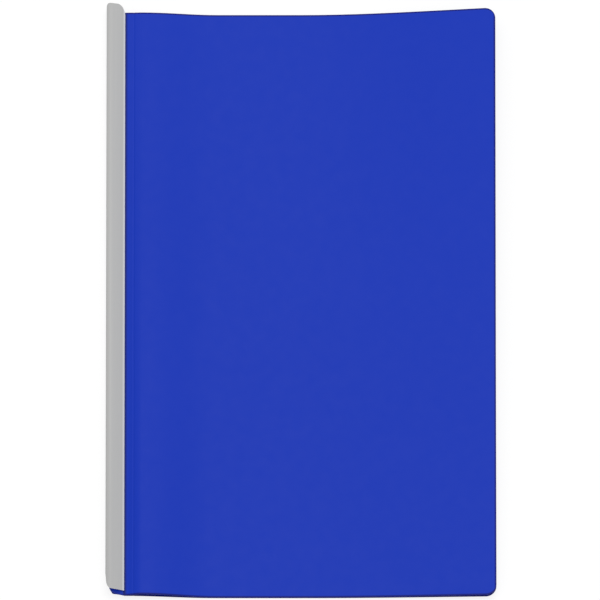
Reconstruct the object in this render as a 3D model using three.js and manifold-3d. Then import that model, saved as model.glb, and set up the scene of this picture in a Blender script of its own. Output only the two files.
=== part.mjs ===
// A report folder: one sheet of blue plastic film folded into a front and a back leaf, held at its fold
// by a grey extruded bar that slides on along the spine. It lies on its back leaf.
// Millimetres. X runs from the spine to the leaves' free edges, Y along the spine, Z up from the table.
import * as THREE from "three";
import Module from "manifold-3d";
import { mergeVertices } from "three/addons/utils/BufferGeometryUtils.js";

// The film and how it is cut
const FOLDER_WIDTH = 220; // from the back of the bar to the free edges
const LEAF_LENGTH = 346; // along the spine
const FILM = 0.5; // thickness
const CORNER_RADIUS = 6; // at the four free corners
const SPINE_TAPER_DEPTH = 1.6; // each end of the fold is cut at a slant, so that the bar goes on easily
const SPINE_TAPER_LENGTH = 3;
const FOLD_TRIM = 1.6; // and is cut back this much more, running out at the bar's mouth
const SCORE_FROM_BAR = 5; // a pressed line in each leaf, along which it flexes
const SCORE_WIDTH = 1.2;
const SCORE_DEPTH = 0.12;

// The bar
const BAR_LENGTH = 348;
const BAR_PAST_TOP = 4.4; // how far the bar stands past the top edge of the film
const BAR_DEPTH = 10.6; // from its back to its mouth
const BAR_THICKNESS = 10; // across its back
const BAR_WALL = 1;
const BACK_RADIUS = 2.5; // outside, where the back turns into each wall
const LIP_LENGTH = 1.6; // flat inner face of each jaw
const LIP_RADIUS = 0.6; // rounded outer edge of each jaw
const LEAD_IN_DEPTH = 2.5; // the top end is cut away at the mouth, where the film enters
const LEAD_IN_LENGTH = 3.6;
const END_SLANT = 1; // the bottom end is cut a little out of square, across the bar's depth
const END_UNDERCUT = 3.3; // and through its thickness, so that the lower wall ends sooner
const BACK_TAPER_DEPTH = 1.1; // and its back corner is pared off
const BACK_TAPER_LENGTH = 5.5;

// Fits
const PINCHED_GAP = 0.3; // between the two leaves inside the jaws
const SLIDE_CLEARANCE = 0.3; // between each leaf and its jaw
const FOLD_RADIUS = 1.5; // of the middle of the film round the fold
const FOLD_CLEARANCE = 0.85; // between the fold and the back of the bar
const NESTED_GAP = 0.35; // between the leaves where the front one lies on the back one

// How the leaves lie
const LANDING = 52; // from the bar's mouth to where the back leaf meets the table
const BULGE_REACH = 9.5; // from the bar's mouth to the top of the front leaf's bulge
const BULGE = { bottom: 2.3, top: 0.4 }; // its height above the pinched film
const CURL_LENGTH = 110; // of the stretch of each leaf that curls up to its free edge
const FRONT_CURL = { bottom: 5.5, top: 13.5 }; // how far the front leaf's free edge is lifted
const BACK_CURL = { bottom: 3.5, top: 1.5 };
const CURL_END_SLOPE = 1.2; // slope at the free edge, as a share of the curl's mean slope

// How finely the curves are cut into facets
const LEAF_STEPS = 10;
const BEND_STEPS = 6;
const FOLD_STEPS = 10;
const CORNER_STEPS = 5;
const ROWS = 8; // along the spine
const ARC_STEPS = 5; // each rounded corner of the bar's section

// Worked out from the sizes above
const PINCH_HEIGHT = BAR_THICKNESS / 2;
const LEAF_OFFSET = PINCHED_GAP / 2 + FILM / 2; // from the pinch's middle to the middle of each leaf
const JAW_OFFSET = PINCHED_GAP / 2 + FILM + SLIDE_CLEARANCE;
const FOLD_CENTRE = BAR_WALL + FOLD_CLEARANCE + FILM / 2 + FOLD_RADIUS;
const MOUTH = BAR_DEPTH + SLIDE_CLEARANCE;
const JAW_START = BAR_DEPTH - LIP_LENGTH;
const LANDING_X = MOUTH + LANDING;
const CURL_X = FOLDER_WIDTH - CURL_LENGTH;
const BACK_LEVEL = FILM / 2;
const FRONT_LEVEL = BACK_LEVEL + FILM + NESTED_GAP;
const SCORE_X = BAR_DEPTH + SCORE_FROM_BAR;

const film = new THREE.MeshStandardMaterial({ color: 0x283fb8, roughness: 0.5, metalness: 0 });
const barPlastic = new THREE.MeshStandardMaterial({ color: 0xb5b5b5, roughness: 0.45, metalness: 0 });

// A size that differs between the bottom and the top of the folder, at a height from 0 to 1 between them.
const between = (size, height) => THREE.MathUtils.lerp(size.bottom, size.top, height);

// Adds to the path a smooth bend from where it stands, with the given slopes at its two ends.
function bendTo(path, x, z, startSlope = 0, endSlope = 0) {
  const from = path.currentPoint;
  const third = (x - from.x) / 3;
  const leaving = [from.x + third, from.y + startSlope * third];
  const arriving = [x - third, z - endSlope * third];
  path.bezierCurveTo(...leaving, ...arriving, x, z);
}

// The middle of the film in section (x, z), from the back leaf's free edge round the fold to the front's.
function filmSection(height) {
  const backCurl = between(BACK_CURL, height);
  const frontCurl = between(FRONT_CURL, height);
  const slope = CURL_END_SLOPE / CURL_LENGTH;
  const path = new THREE.Path();
  path.moveTo(FOLDER_WIDTH, BACK_LEVEL + backCurl);
  bendTo(path, CURL_X, BACK_LEVEL, backCurl * slope);
  path.lineTo(LANDING_X, BACK_LEVEL);
  bendTo(path, MOUTH, PINCH_HEIGHT - LEAF_OFFSET);
  path.lineTo(JAW_START, PINCH_HEIGHT - LEAF_OFFSET);
  bendTo(path, FOLD_CENTRE, PINCH_HEIGHT - FOLD_RADIUS);
  path.absarc(FOLD_CENTRE, PINCH_HEIGHT, FOLD_RADIUS, -Math.PI / 2, Math.PI / 2, true);
  bendTo(path, JAW_START, PINCH_HEIGHT + LEAF_OFFSET);
  path.lineTo(MOUTH, PINCH_HEIGHT + LEAF_OFFSET);
  bendTo(path, MOUTH + BULGE_REACH, PINCH_HEIGHT + LEAF_OFFSET + between(BULGE, height));
  bendTo(path, LANDING_X, FRONT_LEVEL);
  path.lineTo(CURL_X, FRONT_LEVEL);
  bendTo(path, FOLDER_WIDTH, FRONT_LEVEL + frontCurl, 0, frontCurl * slope);
  return path;
}

// Where each stretch of the section is cut across: evenly, and at the places that its details need.
function filmStations() {
  const corner = Array.from({ length: CORNER_STEPS + 1 }, (_, k) => {
    const turned = Math.cos(((k / CORNER_STEPS) * Math.PI) / 2);
    return FOLDER_WIDTH - CORNER_RADIUS * (1 - turned);
  });
  const score = [SCORE_X - SCORE_WIDTH / 2, SCORE_X, SCORE_X + SCORE_WIDTH / 2];
  const stretches = [
    { steps: LEAF_STEPS, details: corner },
    { steps: 1 },
    { steps: LEAF_STEPS, details: score },
    { steps: 1 },
    { steps: BEND_STEPS },
    { steps: FOLD_STEPS },
    { steps: BEND_STEPS },
    { steps: 1 },
    { steps: BEND_STEPS, details: score },
    { steps: LEAF_STEPS },
    { steps: 1 },
    { steps: LEAF_STEPS, details: corner },
  ];
  const curves = filmSection(0).curves;
  const stations = [];
  stretches.forEach(({ steps, details = [] }, index) => {
    const start = curves[index].getPoint(0).x;
    const run = curves[index].getPoint(1).x - start;
    const even = Array.from({ length: steps }, (_, k) => k / steps);
    const special = details.map((x) => (x - start) / run).filter((t) => t > 0 && t < 1);
    const places = [...even, ...special].sort((a, b) => a - b);
    stations.push(...places.map((t) => ({ index, t })));
  });
  stations.push({ index: stretches.length - 1, t: 1 });
  return stations;
}

// How far the film's end is cut back at this distance from the spine: round corners, slanted fold ends.
function endCut(x) {
  const intoCorner = x - (FOLDER_WIDTH - CORNER_RADIUS);
  if (intoCorner > 0) {
    const left = Math.max(0, CORNER_RADIUS ** 2 - intoCorner ** 2);
    return CORNER_RADIUS - Math.sqrt(left);
  }
  const foldEdge = FOLD_CENTRE - FOLD_RADIUS;
  const trimStart = foldEdge + SPINE_TAPER_DEPTH;
  const intoTaper = THREE.MathUtils.clamp((trimStart - x) / SPINE_TAPER_DEPTH, 0, 1);
  const intoTrim = THREE.MathUtils.clamp((MOUTH - x) / (MOUTH - trimStart), 0, 1);
  return SPINE_TAPER_LENGTH * intoTaper + FOLD_TRIM * intoTrim;
}

// The outer face dips by a shallow V along the score.
function scoreDip(x) {
  const across = Math.abs(x - SCORE_X) / (SCORE_WIDTH / 2);
  return SCORE_DEPTH * Math.max(0, 1 - across);
}

// The cut blank is a flat plate. Each point of it is carried to its place on the folded section, with
// its outer face on the outside of the fold.
function makeCover() {
  const stations = filmStations();
  const across = stations.length - 1;
  const blank = new THREE.BoxGeometry(1, 1, 1, across, ROWS, 1);
  blank.deleteAttribute("normal");
  blank.deleteAttribute("uv");
  const sections = Array.from({ length: ROWS + 1 }, (_, row) => filmSection(row / ROWS));
  const points = blank.attributes.position;
  for (let i = 0; i < points.count; i += 1) {
    const { index, t } = stations[Math.round((points.getX(i) + 0.5) * across)];
    const height = points.getY(i) + 0.5;
    const outside = points.getZ(i) > 0;
    const curve = sections[Math.round(height * ROWS)].curves[index];
    const middle = curve.getPoint(t);
    const along = curve.getTangent(t);
    const offset = outside ? FILM / 2 - scoreDip(middle.x) : -FILM / 2;
    const reach = LEAF_LENGTH / 2 - endCut(middle.x);
    const y = THREE.MathUtils.lerp(-reach, reach, height);
    points.setXYZ(i, middle.x - along.y * offset, y, middle.y + along.x * offset);
  }
  blank.computeVertexNormals();
  const cover = new THREE.Mesh(blank, film);
  cover.name = "cover";
  return cover;
}

// The bar's section (x, z from the pinch's middle): a C whose walls close from the back to the jaws.
function barSection() {
  const half = BAR_THICKNESS / 2;
  const inner = half - BAR_WALL;
  const innerRadius = BACK_RADIUS - BAR_WALL;
  const lipTop = JAW_OFFSET + BAR_WALL;
  const right = Math.PI / 2;
  const shape = new THREE.Shape();
  shape.moveTo(BAR_DEPTH, JAW_OFFSET);
  shape.lineTo(BAR_DEPTH, lipTop - LIP_RADIUS);
  shape.absarc(BAR_DEPTH - LIP_RADIUS, lipTop - LIP_RADIUS, LIP_RADIUS, 0, right);
  shape.lineTo(BACK_RADIUS, half);
  shape.absarc(BACK_RADIUS, half - BACK_RADIUS, BACK_RADIUS, right, 2 * right);
  shape.absarc(BACK_RADIUS, BACK_RADIUS - half, BACK_RADIUS, 2 * right, 3 * right);
  shape.lineTo(BAR_DEPTH - LIP_RADIUS, -lipTop);
  shape.absarc(BAR_DEPTH - LIP_RADIUS, LIP_RADIUS - lipTop, LIP_RADIUS, -right, 0);
  shape.lineTo(BAR_DEPTH, -JAW_OFFSET);
  shape.lineTo(JAW_START, -JAW_OFFSET);
  shape.lineTo(BACK_RADIUS, -inner);
  shape.absarc(BACK_RADIUS, innerRadius - inner, innerRadius, -right, -2 * right, true);
  shape.absarc(BACK_RADIUS, inner - innerRadius, innerRadius, 2 * right, right, true);
  shape.lineTo(JAW_START, JAW_OFFSET);
  shape.closePath();
  return shape;
}

// The bar's outline from above, which shapes its top end and pares the back corner at the bottom.
function barOutline() {
  const top = LEAF_LENGTH / 2 + BAR_PAST_TOP;
  const bottom = top - BAR_LENGTH;
  const outline = new THREE.Shape();
  outline.moveTo(BAR_DEPTH, bottom);
  outline.lineTo(BAR_DEPTH, top - LEAD_IN_LENGTH);
  outline.lineTo(BAR_DEPTH - LEAD_IN_DEPTH, top);
  outline.lineTo(0, top);
  outline.lineTo(0, bottom + END_SLANT + BACK_TAPER_LENGTH);
  outline.lineTo(BACK_TAPER_DEPTH, bottom + END_SLANT);
  outline.closePath();
  return outline;
}

const wasm = await Module();
wasm.setup();

function toSolid(geometry) {
  geometry.deleteAttribute("normal");
  geometry.deleteAttribute("uv");
  const merged = mergeVertices(geometry, 1e-4);
  const vertProperties = merged.attributes.position.array;
  const triVerts = new Uint32Array(merged.index.array);
  return new wasm.Manifold(new wasm.Mesh({ numProp: 3, vertProperties, triVerts }));
}

function toGeometry(solid) {
  const mesh = solid.getMesh();
  const geometry = new THREE.BufferGeometry();
  geometry.setAttribute("position", new THREE.BufferAttribute(mesh.vertProperties, 3));
  geometry.setIndex(new THREE.BufferAttribute(mesh.triVerts, 1));
  const faceted = geometry.toNonIndexed();
  faceted.computeVertexNormals();
  return faceted;
}

// The saw cut at the bottom, as a plane (its normal and offset) with the bar in front of it. It passes
// through the upper wall's end at the back and at the lip, and through the lower wall's at the back.
function bottomCut() {
  const bottom = LEAF_LENGTH / 2 + BAR_PAST_TOP - BAR_LENGTH;
  const lipTop = PINCH_HEIGHT + JAW_OFFSET + BAR_WALL;
  const upperBack = new THREE.Vector3(0, bottom + END_SLANT, BAR_THICKNESS);
  const upperLip = new THREE.Vector3(BAR_DEPTH, bottom, lipTop);
  const lowerBack = new THREE.Vector3(0, bottom + END_SLANT + END_UNDERCUT, 0);
  const plane = new THREE.Plane().setFromCoplanarPoints(upperBack, upperLip, lowerBack);
  return plane.normal.y > 0 ? plane : plane.negate();
}

// A length of the extruded section, cut to its outline and sawn off at the bottom.
function makeSpineBar() {
  const settings = { bevelEnabled: false, curveSegments: ARC_STEPS };
  const stock = new THREE.ExtrudeGeometry(barSection(), { ...settings, depth: BAR_LENGTH });
  stock.rotateX(Math.PI / 2);
  stock.translate(0, LEAF_LENGTH / 2 + BAR_PAST_TOP, PINCH_HEIGHT);
  const cutter = new THREE.ExtrudeGeometry(barOutline(), { ...settings, depth: BAR_THICKNESS });
  const cut = bottomCut();
  const solid = toSolid(stock).intersect(toSolid(cutter)).trimByPlane(cut.normal.toArray(), -cut.constant);
  const bar = new THREE.Mesh(toGeometry(solid), barPlastic);
  bar.name = "spine_bar";
  return bar;
}

const folder = new THREE.Group();
folder.add(makeCover(), makeSpineBar());

// The origin is on the table, under the middle of the whole folder.
const whole = new THREE.Box3().setFromObject(folder);
const centre = whole.getCenter(new THREE.Vector3());
folder.position.set(-centre.x, -centre.y, -whole.min.z);

export default folder;
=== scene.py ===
# %% [markdown]
# # A report folder with a slide-on spine bar
# The real folder is two things: one sheet of blue plastic film, folded once to make a back and a front
# leaf, and a grey extruded bar that slides along the fold and pinches it. The construction model already
# holds both at their real size. This lesson gives each of them a fine surface and its own finish, in the
# same place, and then lights and frames them.

# %% Load the construction model
import math

import bpy
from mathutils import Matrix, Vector


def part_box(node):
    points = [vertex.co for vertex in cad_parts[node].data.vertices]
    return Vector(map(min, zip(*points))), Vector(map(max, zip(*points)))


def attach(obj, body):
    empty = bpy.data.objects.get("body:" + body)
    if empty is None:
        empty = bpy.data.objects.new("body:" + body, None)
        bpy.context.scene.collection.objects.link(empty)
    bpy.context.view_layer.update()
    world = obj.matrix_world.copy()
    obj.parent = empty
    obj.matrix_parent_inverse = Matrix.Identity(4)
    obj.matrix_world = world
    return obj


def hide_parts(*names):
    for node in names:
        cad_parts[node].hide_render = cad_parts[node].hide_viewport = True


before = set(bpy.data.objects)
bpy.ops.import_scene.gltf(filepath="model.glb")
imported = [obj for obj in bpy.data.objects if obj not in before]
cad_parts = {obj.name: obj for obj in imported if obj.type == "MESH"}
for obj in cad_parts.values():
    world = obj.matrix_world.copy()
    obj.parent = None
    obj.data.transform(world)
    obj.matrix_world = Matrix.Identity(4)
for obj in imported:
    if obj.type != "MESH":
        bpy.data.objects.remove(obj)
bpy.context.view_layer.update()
bpy.ops.object.select_all(action="DESELECT")

# %% [markdown]
# ## The camera
# The photograph looks down on the folder from the reader's side, a little off the vertical. Its left and
# right edges stay parallel, so the camera stood far away: a long lens does the same here.

# %% Place the camera
MM = 0.001
CAMERA_TILT = math.radians(18.1)  # off straight down, towards the reader
CAMERA_LENS = 1600  # millimetres
CAMERA_SENSOR = 36
VIEW_WIDTH = 338.9 * MM  # what the picture takes in, across
AIM = Vector((-0.49, 1.38, 0)) * MM  # the point of the table in the middle of the picture

distance = VIEW_WIDTH * CAMERA_LENS / CAMERA_SENSOR
bpy.ops.object.camera_add(
    location=AIM + distance * Vector((0, -math.sin(CAMERA_TILT), math.cos(CAMERA_TILT))),
    rotation=(CAMERA_TILT, 0, 0),
)
camera = bpy.context.object
camera.data.lens = CAMERA_LENS
camera.data.sensor_width = CAMERA_SENSOR
camera.data.clip_end = 2 * distance
bpy.context.scene.camera = camera
print(f"the camera stands {distance:.2f} m away")

# %% [markdown]
# ## The film in section
# Cut across, the folder is one long line: the back leaf's curled edge, its flat stretch on the table, its
# climb to the bar, the pinch, the round fold, the pinch again, the front leaf's bulge over its score, its
# flat stretch on the back leaf, and its own curled edge. Such a line could be modelled point by point, but
# a Bezier curve needs only the places where its bend changes. The two ends of the folder curl differently,
# so the line is drawn twice.

# %% Sizes of the film
FILM = 0.5 * MM
CORNER_RADIUS = 6 * MM
BAR_DEPTH = 10.6 * MM
PINCH_HEIGHT = 5 * MM
PINCHED_GAP = 0.3 * MM
SLIDE_CLEARANCE = 0.3 * MM
LIP_LENGTH = 1.6 * MM
FOLD_RADIUS = 1.5 * MM
FOLD_START = 2.1 * MM  # from the back of the bar to the outside of the fold
NESTED_GAP = 0.35 * MM
LANDING = 52 * MM
BULGE_REACH = 9.5 * MM
CURL_LENGTH = 110 * MM
CURL_END_SLOPE = 1.2
SCORE_FROM_BAR = 5 * MM
SCORE_WIDTH = 1.2 * MM
SCORE_DEPTH = 0.12 * MM
SPINE_TAPER_DEPTH = 1.6 * MM
SPINE_TAPER_LENGTH = 3 * MM
FOLD_TRIM = 1.6 * MM
# how high the front leaf bulges beside the bar, and how high each leaf's free edge stands
BOTTOM_END = {"bulge": 2.3 * MM, "front": 5.5 * MM, "back": 3.5 * MM}
TOP_END = {"bulge": 0.4 * MM, "front": 13.5 * MM, "back": 1.5 * MM}

film_low, film_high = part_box("cover")
bar_low, bar_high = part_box("spine_bar")
spine = bar_low.x  # the back of the bar, from which the section is measured
free_edge = film_high.x
mouth = spine + BAR_DEPTH + SLIDE_CLEARANCE
jaw_start = spine + BAR_DEPTH - LIP_LENGTH
fold_centre = spine + FOLD_START + FILM / 2 + FOLD_RADIUS
landing = mouth + LANDING
curl_start = free_edge - CURL_LENGTH
score = spine + BAR_DEPTH + SCORE_FROM_BAR
leaf_offset = (PINCHED_GAP + FILM) / 2
back_level = FILM / 2
front_level = back_level + FILM + NESTED_GAP
print(f"free edge at {free_edge:.4f}, fold centre at {fold_centre:.4f}, score at {score:.4f}")

# %% [markdown]
# A bend runs between two places (x, z, slope). What lies between them on it can be asked for, so that the
# round corners and the pressed score get the extra points that they need.

# %% Bends of the section
CORNER_SHARES = (0.134, 1)  # where a round corner gets extra points, in shares of its radius


def on_bend(x, start, end):
    """The place (x, z, slope) at x, on the smooth bend from start to end."""
    run = end[0] - start[0]
    t = (x - start[0]) / run
    rise = end[1] - start[1]
    left, right = start[2] * run, end[2] * run
    z = start[1] + left * t + (3 * rise - 2 * left - right) * t**2 + (left + right - 2 * rise) * t**3
    turn = left + 2 * (3 * rise - 2 * left - right) * t + 3 * (left + right - 2 * rise) * t**2
    return (x, z, turn / run)


corner_stops = [free_edge - share * CORNER_RADIUS for share in CORNER_SHARES]
score_stops = [score + SCORE_WIDTH / 2, score - SCORE_WIDTH / 2]


def leaf_places(end, sign):
    """One leaf's places, from free edge to fold. The sign is -1 for the back leaf, 1 for the front."""
    level = back_level if sign < 0 else front_level
    curl = end["back"] if sign < 0 else end["front"]
    edge = (free_edge, level + curl, curl * CURL_END_SLOPE / CURL_LENGTH)
    lift = (curl_start, level, 0)
    lies = (landing, level, 0)
    pinched = PINCH_HEIGHT + sign * leaf_offset
    at_mouth = (mouth, pinched, 0)
    places = [edge, *[on_bend(x, edge, lift) for x in corner_stops], lift, lies]
    if sign > 0:
        crest = (mouth + BULGE_REACH, pinched + end["bulge"], 0)
        places += [crest, *[on_bend(x, crest, at_mouth) for x in score_stops]]
    else:
        places += [on_bend(x, lies, at_mouth) for x in score_stops]
    fold_side = (fold_centre, PINCH_HEIGHT + sign * FOLD_RADIUS, 0)
    return [*places, at_mouth, (jaw_start, pinched, 0), fold_side]


print(len(leaf_places(TOP_END, 1)), "places along the front leaf")

# %% [markdown]
# Each place becomes a point of the curve, with handles a third of the way to its neighbours. The fold is
# two quarter circles, whose handles are 0.5523 of the radius long.

# %% Draw the section at each end
CURVE_STEPS = 10
QUARTER_CIRCLE = 0.5523


def knots(places):
    """Points of the curve as (place, left handle, right handle), each an (x, z) pair."""
    made = []
    for i, (x, z, slope) in enumerate(places):
        before = (places[i - 1][0] - x) / 3 if i else 0
        after = (places[i + 1][0] - x) / 3 if i + 1 < len(places) else 0
        made.append([(x, z), (x + before, z + slope * before), (x + after, z + slope * after)])
    return made


def draw_section(name, end, y):
    """The middle line of the film at one end of the folder, as a chain of mesh edges."""
    reach = QUARTER_CIRCLE * FOLD_RADIUS
    back = knots(leaf_places(end, -1))
    front = knots(leaf_places(end, 1)[::-1])
    back[-1][2] = (fold_centre - reach, PINCH_HEIGHT - FOLD_RADIUS)
    front[0][1] = (fold_centre - reach, PINCH_HEIGHT + FOLD_RADIUS)
    tip = fold_centre - FOLD_RADIUS
    fold = [(tip, PINCH_HEIGHT), (tip, PINCH_HEIGHT - reach), (tip, PINCH_HEIGHT + reach)]
    places = [*back, fold, *front]
    bpy.ops.curve.primitive_bezier_curve_add()
    section = bpy.context.object
    section.name = name
    section.data.resolution_u = CURVE_STEPS
    points = section.data.splines[0].bezier_points
    points.add(len(places) - len(points))
    for point, (middle, left, right) in zip(points, places):
        point.handle_left_type = point.handle_right_type = "FREE"
        point.co = (middle[0], y, middle[1])
        point.handle_left = (left[0], y, left[1])
        point.handle_right = (right[0], y, right[1])
    bpy.ops.object.convert(target="MESH")
    return bpy.context.object


sections = [
    draw_section("section_bottom", BOTTOM_END, film_low.y),
    draw_section("section_top", TOP_END, film_high.y),
]
print([len(section.data.vertices) for section in sections], "points in the two sections")

# %% [markdown]
# ## From two lines to a sheet
# The two lines are joined into one object and bridged: the bridge tool lays a skin of faces between them,
# with as many cuts as we ask for. Four more cuts close to the ends will carry the darker rim of the film,
# and the painted shade at the ends of the fold.

# %% Bridge the sections
ROWS = 40
RIM = 1.1 * MM


def only(*objects):
    """Selects these objects alone, the first of them active."""
    bpy.ops.object.select_all(action="DESELECT")
    for thing in objects:
        thing.select_set(True)
    bpy.context.view_layer.objects.active = objects[0]


only(*sections)
bpy.ops.object.join()
cover = bpy.context.object
cover.name = cover.data.name = "folded_cover"
bpy.ops.object.mode_set(mode="EDIT")
bpy.ops.mesh.select_mode(type="EDGE")
bpy.ops.mesh.select_all(action="SELECT")
bpy.ops.mesh.bridge_edge_loops(number_cuts=ROWS - 1, interpolation="LINEAR")
for y in (film_low.y + RIM, film_low.y + RIM / 2, film_high.y - RIM / 2, film_high.y - RIM):
    bpy.ops.mesh.select_all(action="SELECT")
    bpy.ops.mesh.bisect(plane_co=(0, y, 0), plane_no=(0, 1, 0))
bpy.ops.object.mode_set(mode="OBJECT")
print(len(cover.data.polygons), "faces in the sheet")

# %% [markdown]
# ## Cut the ends
# The blank is stamped out with four round corners, and each end of the fold is cut at a slant so that the
# bar goes on easily. Every column of points that runs along the spine is scaled towards the middle until
# its ends lie on that outline.

# %% Round corners and slanted fold ends
half_length = (film_high.y - film_low.y) / 2
middle_y = (film_high.y + film_low.y) / 2
fold_edge = fold_centre - FOLD_RADIUS
trim_start = fold_edge + SPINE_TAPER_DEPTH


def end_cut(x):
    """How far the film's end is cut back at this distance from the spine."""
    into_corner = x - (free_edge - CORNER_RADIUS)
    if into_corner > 0:
        return CORNER_RADIUS - math.sqrt(max(0, CORNER_RADIUS**2 - into_corner**2))
    into_taper = max(0, trim_start - x) / SPINE_TAPER_DEPTH
    into_trim = min(1, max(0, mouth - x) / (mouth - trim_start))
    return SPINE_TAPER_LENGTH * into_taper + FOLD_TRIM * into_trim


def select_where(thing, test):
    """Selects, in edit mode, the points for which the test holds."""
    bpy.ops.object.mode_set(mode="OBJECT")
    for part in (thing.data.vertices, thing.data.edges, thing.data.polygons):
        part.foreach_set("select", [False] * len(part))
    for vertex in thing.data.vertices:
        vertex.select = test(vertex)
    bpy.ops.object.mode_set(mode="EDIT")
    bpy.ops.mesh.select_mode(type="VERT")


STEP = 1e-7  # two points closer than this are in one column
columns = sorted({round(v.co.x / STEP) for v in cover.data.vertices if end_cut(v.co.x) > 0})
for column in columns:
    select_where(cover, lambda v: abs(v.co.x / STEP - column) < 1)
    share = 1 - end_cut(column * STEP) / half_length
    bpy.ops.transform.resize(value=(1, share, 1), center_override=(0, middle_y, 0))
bpy.ops.object.mode_set(mode="OBJECT")
print(len(columns), "columns were cut back")

# %% [markdown]
# ## Give the film its thickness
# The sheet so far has no thickness. Solidify grows half a millimetre round it, evenly on both sides. Its
# faces first have to agree on which way is out: the outside of the fold.

# %% Solidify the sheet
select_where(cover, lambda v: True)
bpy.ops.mesh.normals_make_consistent(inside=False)
bpy.ops.object.mode_set(mode="OBJECT")
highest = max(cover.data.polygons, key=lambda face: face.center.z)
if highest.normal.z < 0:
    bpy.ops.object.mode_set(mode="EDIT")
    bpy.ops.mesh.select_all(action="SELECT")
    bpy.ops.mesh.flip_normals()
    bpy.ops.object.mode_set(mode="OBJECT")


def finish_with(thing, kind, **settings):
    """Adds a modifier of this kind with these settings, and applies it."""
    modifier = thing.modifiers.new(kind.title(), kind)
    for name, value in settings.items():
        setattr(modifier, name, value)
    only(thing)
    bpy.ops.object.modifier_apply(modifier=modifier.name)


middle_line = {round(v.co.x / STEP) for v in cover.data.vertices}
finish_with(cover, "SOLIDIFY", thickness=FILM, offset=0, use_even_offset=True, use_rim=True)
print(len(middle_line), "columns,", len(cover.data.vertices), "points in the solid sheet")

# %% [markdown]
# ## Press the score
# A blunt rule presses a shallow line into the outside of each leaf beside the bar, and the leaf flexes
# along it. Only the outer skin moves in, most at the middle of the line.

# %% Press a line into each leaf
PRESSES = 5


def outer(vertex):
    """Whether the point is on the outside of the fold: above on the front leaf, below on the back."""
    return vertex.normal.z > 0.5 if vertex.co.z > PINCH_HEIGHT else vertex.normal.z < -0.5


for press in range(1, PRESSES + 1):
    half_width = SCORE_WIDTH / 2 * (press - 0.5) / PRESSES
    select_where(cover, lambda v: abs(v.co.x - score) < half_width and outer(v))
    bpy.ops.transform.shrink_fatten(value=-SCORE_DEPTH / PRESSES)
bpy.ops.object.mode_set(mode="OBJECT")
pressed = [v for v in cover.data.vertices if abs(v.co.x - score) < SCORE_WIDTH / 2]
print(len(pressed), "points along the scores")

# %% [markdown]
# The die leaves the cut edges square but not razor sharp. A tiny bevel catches a line of light there.
# The film is darker along its cut rim, and the ends of the fold carry painted shade, where the bar's ends
# shadow them. How dark each point is gets written on the mesh, as an attribute that the material reads
# later.

# %% Soften the cut edges
FILM_BEVEL = 0.1 * MM
FILM_SHARP = math.radians(60)  # edges that turn by more than this are cut edges
SMOOTH_ANGLE = math.radians(35)
# The ends of the fold get painted shade, where the bar's ends shadow them, as this share of the rim's
# darkening.
FOLD_END_SHADE = 0.5  # how dark the ends of the fold are, of the rim's full share

finish_with(
    cover, "BEVEL", width=FILM_BEVEL, segments=2, limit_method="ANGLE", angle_limit=FILM_SHARP
)
only(cover)
bpy.ops.object.shade_smooth_by_angle(angle=SMOOTH_ANGLE)
rim_and_fold_shade = cover.data.attributes.new("rim_and_fold_shade", "FLOAT", "POINT")
for vertex, value in zip(cover.data.vertices, rim_and_fold_shade.data):
    from_end = half_length - end_cut(vertex.co.x) - abs(vertex.co.y - middle_y)
    from_edge = min(from_end, free_edge - vertex.co.x)
    # Beside the bar, at the fold's ends, the darkening is painted shade of the bar's end.
    share = 1 if vertex.co.x > mouth else FOLD_END_SHADE
    value.value = share * max(0, min(1, 2 - 2 * from_edge / RIM))
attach(cover, "cover")
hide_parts("cover")
print(len(cover.data.polygons), "faces in the finished cover")

# %% [markdown]
# ## The bar in section
# The bar is extruded, so its section says nearly everything: a flat back, two walls that close on the
# film, and jaws with a flat inner face and a rounded lip. A wall touches the round of the back and the
# round of its lip, so its slope follows from them. It is worked out first, with sharp corners.

# %% Sizes of the bar
BAR_LENGTH = 348 * MM
BAR_THICKNESS = 10 * MM
BAR_WALL = 1 * MM
BACK_RADIUS = 2.5 * MM
LIP_RADIUS = 0.6 * MM
END_SLANT = 1 * MM
END_UNDERCUT = 3.3 * MM

jaw = PINCHED_GAP / 2 + FILM + SLIDE_CLEARANCE
back_round = Vector((BACK_RADIUS, BAR_THICKNESS / 2 - BACK_RADIUS))
lip_round = Vector((BAR_DEPTH - LIP_RADIUS, jaw + BAR_WALL - LIP_RADIUS))
between = lip_round - back_round
lean = math.atan2(between.y, between.x) + math.acos((BACK_RADIUS - LIP_RADIUS) / between.length)
wall_normal = Vector((math.cos(lean), math.sin(lean)))


def wall_height(x, inwards=0):
    """Height of the wall's outer line, or of one this far inside it, over the pinch at a depth of x."""
    return (wall_normal.dot(back_round) + BACK_RADIUS - inwards - wall_normal.x * x) / wall_normal.y


upper = [
    (BAR_DEPTH, jaw),
    (BAR_DEPTH, wall_height(BAR_DEPTH)),
    (0, wall_height(0)),
]
inner = [(BAR_WALL, wall_height(BAR_WALL, BAR_WALL)), (BAR_DEPTH - LIP_LENGTH, jaw)]
outline = [*upper, *[(x, -z) for x, z in upper[::-1]], *[(x, -z) for x, z in inner[::-1]], *inner]
print("the walls close by", round(90 - math.degrees(lean), 1), "degrees")

# %% [markdown]
# The outline is drawn as by hand: a plane is merged to a single point, the point is extruded from each
# corner to the next, and the closed line is filled with a face.

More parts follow.
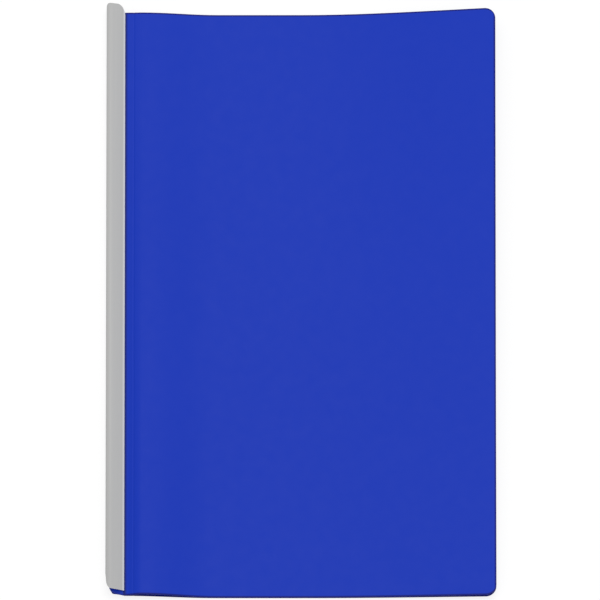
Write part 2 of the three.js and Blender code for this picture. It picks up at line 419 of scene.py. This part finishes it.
# %% Draw the outline of the bar
bpy.ops.mesh.primitive_plane_add(size=MM)
bar = bpy.context.object
bar.name = bar.data.name = "slide_bar"
bpy.ops.object.mode_set(mode="EDIT")
bpy.ops.mesh.select_all(action="SELECT")
bpy.ops.mesh.merge(type="CENTER")
bar_bottom = bar_high.y - BAR_LENGTH
places = [Vector((spine + x, bar_bottom, PINCH_HEIGHT + z)) for x, z in outline]
bpy.ops.transform.translate(value=places[0])
for here, there in zip(places, places[1:]):
    bpy.ops.mesh.extrude_region_move(TRANSFORM_OT_translate={"value": there - here})
bpy.ops.mesh.select_all(action="SELECT")
bpy.ops.mesh.edge_face_add()
bpy.ops.object.mode_set(mode="OBJECT")
print(len(bar.data.vertices), "corners in the outline")

# %% [markdown]
# Each corner is rounded by a bevel of its point. A bevel is measured along the edges: for a radius r and
# an edge that turns by an angle a, it starts r times tan(a / 2) from the corner.

# %% Round the corners of the outline
ROUND_STEPS = 8


def round_corner(thing, place, radius):
    """Rounds the corner of a flat outline at this place."""
    corner = min(thing.data.vertices, key=lambda v: (v.co - place).length)
    others = [
        thing.data.vertices[other].co - corner.co
        for edge in thing.data.edges
        if corner.index in edge.vertices
        for other in edge.vertices
        if other != corner.index
    ]
    turn = math.pi - others[0].angle(others[1])
    select_where(thing, lambda v: v.index == corner.index)
    bpy.ops.mesh.bevel(
        offset=radius * math.tan(turn / 2), segments=ROUND_STEPS, affect="VERTICES", clamp_overlap=False
    )
    bpy.ops.object.mode_set(mode="OBJECT")


SMALL_ROUND = 0.2 * MM
radii = [SMALL_ROUND, LIP_RADIUS, BACK_RADIUS, BACK_RADIUS, LIP_RADIUS, SMALL_ROUND]
radii += [SMALL_ROUND, BACK_RADIUS - BAR_WALL, BACK_RADIUS - BAR_WALL, SMALL_ROUND]
for place, radius in zip(places, radii):
    round_corner(bar, place, radius)
print(len(bar.data.vertices), "points in the rounded outline")

# %% [markdown]
# ## Extrude it, and cut its ends
# The filled outline is extruded for the bar's whole length. Its normals are then made to point outwards.

# %% Extrude the bar
select_where(bar, lambda v: True)
bpy.ops.mesh.extrude_region_move(TRANSFORM_OT_translate={"value": (0, BAR_LENGTH, 0)})
bpy.ops.mesh.select_all(action="SELECT")
bpy.ops.mesh.normals_make_consistent(inside=False)
print("the bar reaches from", round(bar_bottom, 4), "to", round(bar_high.y, 4))

# %% [markdown]
# A saw then trims the ends. The bottom end slants two ways. The mouth's corner at the top, where the film
# enters first, and the back's corners are cut round. Bisect is that saw. It is told three points of each
# cut, on the side away from the bar's middle, and a few cuts one after the other make a round corner.

# %% Places of the saw cuts
# places on each corner, in millimetres from the bar's back and from its end
MOUTH_CORNER = [(6.6, 0), (7.5, 0.3), (8.3, 0.85), (9, 1.65), (9.6, 2.7), (10.1, 4), (10.6, 6.2)]
TOP_CORNER = [(0, 1.7), (0.2, 0.85), (0.75, 0.22), (1.6, 0)]
BOTTOM_CORNER = [(0, 8.5), (0.5, 2.8), (1.1, 1), (1.9, 0)]

mouth_edge = spine + BAR_DEPTH
lip_top = PINCH_HEIGHT + jaw + BAR_WALL
back_end = bar_bottom + END_SLANT


def corner_cuts(corner, end, inwards, undercut=0):
    """A cut through each two neighbouring places of a corner, further in by the undercut at the table."""
    stops = [(spine + across * MM, end + inwards * along * MM) for across, along in corner]
    return [
        ((*here, BAR_THICKNESS), (*there, BAR_THICKNESS), (here[0], here[1] + inwards * undercut, 0))
        for here, there in zip(stops, stops[1:])
    ]


bottom_cut = [
    (spine, back_end, BAR_THICKNESS),
    (mouth_edge, bar_bottom, lip_top),
    (spine, back_end + END_UNDERCUT, 0),
]
cuts = [
    bottom_cut,
    *corner_cuts(MOUTH_CORNER, bar_high.y, -1),
    *corner_cuts(TOP_CORNER, bar_high.y, -1),
    *corner_cuts(BOTTOM_CORNER, back_end, 1, END_UNDERCUT),
]
print(len(cuts), "cuts")

# %% [markdown]
# After the saw, a tiny bevel breaks the sharp edges, and points that fell together are merged.

# %% Trim the bar
BAR_BEVEL = 0.12 * MM
BAR_SHARP = math.radians(40)
MERGE_DISTANCE = 0.005 * MM

bar_middle = Vector((spine + BAR_DEPTH / 2, 0, PINCH_HEIGHT))
for cut in cuts:
    first, second, third = (Vector(point) for point in cut)
    normal = (second - first).cross(third - first).normalized()
    if normal.dot(bar_middle - first) > 0:
        normal.negate()
    bpy.ops.mesh.select_all(action="SELECT")
    bpy.ops.mesh.bisect(plane_co=first, plane_no=normal, use_fill=True, clear_outer=True)
bpy.ops.object.mode_set(mode="OBJECT")
finish_with(bar, "BEVEL", width=BAR_BEVEL, segments=2, limit_method="ANGLE", angle_limit=BAR_SHARP)
select_where(bar, lambda v: True)
bpy.ops.mesh.remove_doubles(threshold=MERGE_DISTANCE)
bpy.ops.object.mode_set(mode="OBJECT")
only(bar)
bpy.ops.object.shade_smooth_by_angle(angle=SMOOTH_ANGLE)
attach(bar, "spine_bar")
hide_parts("spine_bar")
print(len(bar.data.polygons), "faces in the finished bar")

# %% [markdown]
# ## Finishes
# A finish starts as an empty node tree with a Principled shader in it, Blender's surface for nearly
# everything. It takes a colour, a roughness and a normal, and other nodes may drive each of them.


# %% Start the two materials
def new_material(name):
    """A material with an empty node tree but for its output and a Principled shader."""
    material = bpy.data.materials.new(name)
    material.use_nodes = True
    nodes = material.node_tree.nodes
    nodes.clear()
    output = nodes.new("ShaderNodeOutputMaterial")
    shader = nodes.new("ShaderNodeBsdfPrincipled")
    material.node_tree.links.new(shader.outputs["BSDF"], output.inputs["Surface"])
    return material, shader


film_material, film_shader = new_material("blue_film")
bar_material, bar_shader = new_material("grey_plastic")
print("materials:", film_material.name, "and", bar_material.name)

# %% [markdown]
# ### Blue film
# The film is dyed right through and opaque. Its colour hardly varies: wide, soft patches go between two
# blues that lie close together. Noise makes the patches. It reads the object's own coordinates, so they
# stay where they are on the film whatever moves.

# %% Colour the film
BLUE = (0.0022, 0.0318, 0.454)
BLUE_DEEP = (0.0012, 0.0298, 0.441)
PATCHES = {"scale": 9, "detail": 3}  # a noise of scale 9 has about nine patches in a metre


def noise(material, scale, detail, stretch=(1, 1, 1)):
    """Noise over the object's own coordinates, stretched along its axes."""
    nodes, links = material.node_tree.nodes, material.node_tree.links
    coordinates = nodes.new("ShaderNodeTexCoord")
    mapping = nodes.new("ShaderNodeMapping")
    mapping.inputs["Scale"].default_value = stretch
    texture = nodes.new("ShaderNodeTexNoise")
    texture.inputs["Scale"].default_value = scale
    texture.inputs["Detail"].default_value = detail
    links.new(coordinates.outputs["Object"], mapping.inputs["Vector"])
    links.new(mapping.outputs["Vector"], texture.inputs["Vector"])
    return texture.outputs["Fac"]


def mixed(material, factor, first, second):
    """A colour between first and second by the factor."""
    node = material.node_tree.nodes.new("ShaderNodeMix")
    node.data_type = "RGBA"
    links = material.node_tree.links
    links.new(factor, node.inputs["Factor"])
    for socket, colour in ((node.inputs["A"], first), (node.inputs["B"], second)):
        if isinstance(colour, tuple):
            socket.default_value = (*colour, 1)
        else:
            links.new(colour, socket)
    return node.outputs["Result"]


patches = noise(film_material, **PATCHES)
film_colour = mixed(film_material, patches, BLUE, BLUE_DEEP)
print("the film goes between", BLUE, "and", BLUE_DEEP)

# %% [markdown]
# A painted shadow runs along the spine, beside and just inside the bar's mouth, where the lip shades the
# film. The film is also darker along its cut rim, and carries painted shade at the fold's ends. The line
# follows from the distance across the folder. The rim and the fold's shade were written on the mesh, as an
# attribute.

# %% Paint the lip's shadow, the darker rim and the fold ends' shade
# Colour of the darker rim, and of the painted shade at the fold's ends:
BLUE_RIM_AND_SHADE = (0.0002, 0.004, 0.17)
# Painted shadow of the bar's lip on the film, along the spine: its colour and width.
BLUE_LIP_SHADOW = (0.0002, 0.008, 0.15)
LIP_SHADOW_WIDTH = 1.3 * MM


def across_spine(material, start, end):
    """Goes from 0 to 1 between these two distances across the folder, in the object's own X."""
    nodes, links = material.node_tree.nodes, material.node_tree.links
    coordinates = nodes.new("ShaderNodeTexCoord")
    split = nodes.new("ShaderNodeSeparateXYZ")
    spread = nodes.new("ShaderNodeMapRange")
    spread.inputs["From Min"].default_value = start
    spread.inputs["From Max"].default_value = end
    links.new(coordinates.outputs["Object"], split.inputs["Vector"])
    links.new(split.outputs["X"], spread.inputs["Value"])
    return spread.outputs["Result"]


# The lip's painted shadow: darkest from just inside the mouth up to the mouth, fading out on either side.
ahead = across_spine(film_material, mouth, mouth + LIP_SHADOW_WIDTH)
behind = across_spine(film_material, mouth - LIP_SHADOW_WIDTH / 2, mouth - LIP_SHADOW_WIDTH)
lip_shadow_colour = mixed(film_material, behind, BLUE_LIP_SHADOW, film_colour)
film_colour = mixed(film_material, ahead, lip_shadow_colour, film_colour)
# The rim's darkening and the fold ends' painted shade, read from the mesh:
rim_and_fold_shade_read = film_material.node_tree.nodes.new("ShaderNodeAttribute")
rim_and_fold_shade_read.attribute_name = "rim_and_fold_shade"
film_colour = mixed(film_material, rim_and_fold_shade_read.outputs["Fac"], film_colour, BLUE_RIM_AND_SHADE)
film_material.node_tree.links.new(film_colour, film_shader.inputs["Base Color"])
print(f"the painted_shadow line is {LIP_SHADOW_WIDTH * 1000:.1f} mm wide, the rim {RIM * 1000:.1f} mm")

# %% [markdown]
# The film is satin. Its gloss is a little uneven, the rollers left a fine grain, and slow waves run
# through the sheet. Waves and grain are too low to be modelled. A bump tilts the light as they would.

# %% Give the film its gloss and grain
GLOSS = {"scale": 160, "detail": 4}
WAVES = {"scale": 14, "detail": 1}
GRAIN = {"scale": 2600, "detail": 2}
FILM_ROUGHNESS = (0.44, 0.56)
FILM_SPECULAR = 0.16
WAVE_DEPTH = 0.6 * MM
GRAIN_DEPTH = 0.04 * MM


def ranged(material, value, low, high):
    """The value from 0 to 1 spread between low and high."""
    node = material.node_tree.nodes.new("ShaderNodeMapRange")
    node.inputs["To Min"].default_value = low
    node.inputs["To Max"].default_value = high
    material.node_tree.links.new(value, node.inputs["Value"])
    return node.outputs["Result"]


def bumped(material, height, strength, depth, normal=None):
    """A bump of this depth in metres over the normal given, or over the plain surface."""
    node = material.node_tree.nodes.new("ShaderNodeBump")
    node.inputs["Strength"].default_value = strength
    node.inputs["Distance"].default_value = depth
    links = material.node_tree.links
    links.new(height, node.inputs["Height"])
    if normal:
        links.new(normal, node.inputs["Normal"])
    return node.outputs["Normal"]


gloss = ranged(film_material, noise(film_material, **GLOSS), *FILM_ROUGHNESS)
waves = bumped(film_material, noise(film_material, **WAVES), 0.25, WAVE_DEPTH)
grain = bumped(film_material, noise(film_material, **GRAIN), 0.5, GRAIN_DEPTH, waves)
film_material.node_tree.links.new(gloss, film_shader.inputs["Roughness"])
film_material.node_tree.links.new(grain, film_shader.inputs["Normal"])
film_shader.inputs["Specular IOR Level"].default_value = FILM_SPECULAR
cover.data.materials.clear()
cover.data.materials.append(film_material)
print(len(film_material.node_tree.nodes), "nodes in the film's material")

# %% [markdown]
# ### Grey bar
# An extruded bar carries faint lines along its length, where the die dragged. The same noise makes them,
# stretched along Y. A lighter strip along the mouth edge is a painted highlight, where the bar's rounded
# lips catch the light.

# %% Finish the bar
GREY = (0.471, 0.472, 0.469)
GREY_DEEP = (0.449, 0.450, 0.448)
# Painted highlight along the bar's lips: its colour and width.
GREY_LIP_HIGHLIGHT = (0.60, 0.61, 0.65)
LIP_HIGHLIGHT_WIDTH = 1.3 * MM
STREAKS = {"scale": 900, "detail": 3, "stretch": (1, 0.012, 1)}
BAR_GRAIN = {"scale": 3000, "detail": 2}
BAR_ROUGHNESS = (0.34, 0.46)
BAR_SPECULAR = 0.3
DRAG_DEPTH = 0.02 * MM  # of the lines and of the grain alike

streaks = noise(bar_material, **STREAKS)
# The painted highlight lies in the last part of the bar's depth, at the mouth edge.
lip_highlight = across_spine(bar_material, mouth_edge - LIP_HIGHLIGHT_WIDTH, mouth_edge - LIP_HIGHLIGHT_WIDTH / 2)
bar_colour = mixed(bar_material, streaks, GREY, GREY_DEEP)
bar_colour = mixed(bar_material, lip_highlight, bar_colour, GREY_LIP_HIGHLIGHT)
drag = bumped(bar_material, streaks, 0.3, DRAG_DEPTH)
grain = bumped(bar_material, noise(bar_material, **BAR_GRAIN), 0.3, DRAG_DEPTH, drag)
links = bar_material.node_tree.links
links.new(bar_colour, bar_shader.inputs["Base Color"])
links.new(ranged(bar_material, streaks, *BAR_ROUGHNESS), bar_shader.inputs["Roughness"])
links.new(grain, bar_shader.inputs["Normal"])
bar_shader.inputs["Specular IOR Level"].default_value = BAR_SPECULAR
bar.data.materials.clear()
bar.data.materials.append(bar_material)
print(len(bar_material.node_tree.nodes), "nodes in the bar's material")

# %% [markdown]
# ## Table and light
# The folder lies on a white table, a plane that reaches far past the picture. It is put a hair below the
# folder, so that the two surfaces don't lie in each other.

# %% Lay the table
TABLE_SIZE = 60  # metres
TABLE_DROP = 0.1 * MM

bpy.ops.mesh.primitive_plane_add(size=TABLE_SIZE, location=(0, 0, -TABLE_DROP))
table = bpy.context.object
table.name = "table"
print(f"the table is {TABLE_SIZE} m wide")

# %% [markdown]
# In the photograph the table is white, and the folder's shadow on it hardly shows. More light would do
# that too, but it would bleach the folder. So the table shines a little by itself where the camera sees
# it, straight or in a gloss, keeps some of its shadow, and stays a plain pale surface for all other light.

# %% Make the table white
TABLE_WHITE = 0.8
SHADOW_SHARE = 0.2  # how much of what is seen of the table is lit, and so takes the shadow
TABLE_GLOW = 0.82


def seen_directly(nodes, links):
    """1 for what the camera sees itself, or in a gloss or through something clear, and 0 for plain light."""
    path = nodes.new("ShaderNodeLightPath")
    total = path.outputs["Is Camera Ray"]
    for ray in ("Is Glossy Ray", "Is Transmission Ray"):
        add = nodes.new("ShaderNodeMath")
        add.operation = "MAXIMUM"
        links.new(total, add.inputs[0])
        links.new(path.outputs[ray], add.inputs[1])
        total = add.outputs[0]
    return total


table_material = bpy.data.materials.new("white_table")
table_material.use_nodes = True
nodes, links = table_material.node_tree.nodes, table_material.node_tree.links
nodes.clear()
output = nodes.new("ShaderNodeOutputMaterial")
lit = nodes.new("ShaderNodeBsdfDiffuse")
lit.inputs["Color"].default_value = (TABLE_WHITE, TABLE_WHITE, TABLE_WHITE, 1)
seen_lit = nodes.new("ShaderNodeBsdfDiffuse")
seen_lit.inputs["Color"].default_value = (SHADOW_SHARE, SHADOW_SHARE, SHADOW_SHARE, 1)
glow = nodes.new("ShaderNodeEmission")
glow.inputs["Strength"].default_value = TABLE_GLOW
seen = nodes.new("ShaderNodeAddShader")
links.new(seen_lit.outputs["BSDF"], seen.inputs[0])
links.new(glow.outputs["Emission"], seen.inputs[1])
choice = nodes.new("ShaderNodeMixShader")
links.new(seen_directly(nodes, links), choice.inputs["Fac"])
links.new(lit.outputs["BSDF"], choice.inputs[1])
links.new(seen.outputs["Shader"], choice.inputs[2])
links.new(choice.outputs["Shader"], output.inputs["Surface"])
table.data.materials.append(table_material)
print("the table glows by", TABLE_GLOW, "and is lit by", SHADOW_SHARE)

# %% [markdown]
# The light is as soft as on a cloudy day: an even sky from all sides gives most of it. The sky looks pure
# white where it is seen, also past the table, and lights the folder less than that.

# %% Hang up the sky
SKY_LIGHT = 0.75

world = bpy.data.worlds.new("white_sky")
bpy.context.scene.world = world
world.use_nodes = True
nodes, links = world.node_tree.nodes, world.node_tree.links
nodes.clear()
output = nodes.new("ShaderNodeOutputWorld")
sky = nodes.new("ShaderNodeBackground")
sky.inputs["Strength"].default_value = SKY_LIGHT
white = nodes.new("ShaderNodeBackground")
white.inputs["Strength"].default_value = 1
for background in (sky, white):
    background.inputs["Color"].default_value = (1, 1, 1, 1)
choice = nodes.new("ShaderNodeMixShader")
links.new(seen_directly(nodes, links), choice.inputs["Fac"])
links.new(sky.outputs["Background"], choice.inputs[1])
links.new(white.outputs["Background"], choice.inputs[2])
links.new(choice.outputs["Shader"], output.inputs["Surface"])
print("the sky gives", SKY_LIGHT)

# %% [markdown]
# One wide lamp above the far side of the folder adds the rest, so that the bar's round back and the
# leaves' bends are shaded. A wide lamp has a soft shadow. The Standard view keeps colours as written.

# %% Place the lamp
LAMP_POWER = 16  # watts
LAMP_SIZE = 1.6  # metres across
LAMP_PLACE = Vector((0.1, 0.55, 2.2))

bpy.ops.object.light_add(type="AREA", location=LAMP_PLACE)
lamp = bpy.context.object
lamp.data.shape = "DISK"
lamp.data.size = LAMP_SIZE
lamp.data.energy = LAMP_POWER
lamp.rotation_euler = (-LAMP_PLACE).to_track_quat("-Z", "Y").to_euler()
bpy.context.scene.view_settings.view_transform = "Standard"
print("the lamp gives", LAMP_POWER, "W")
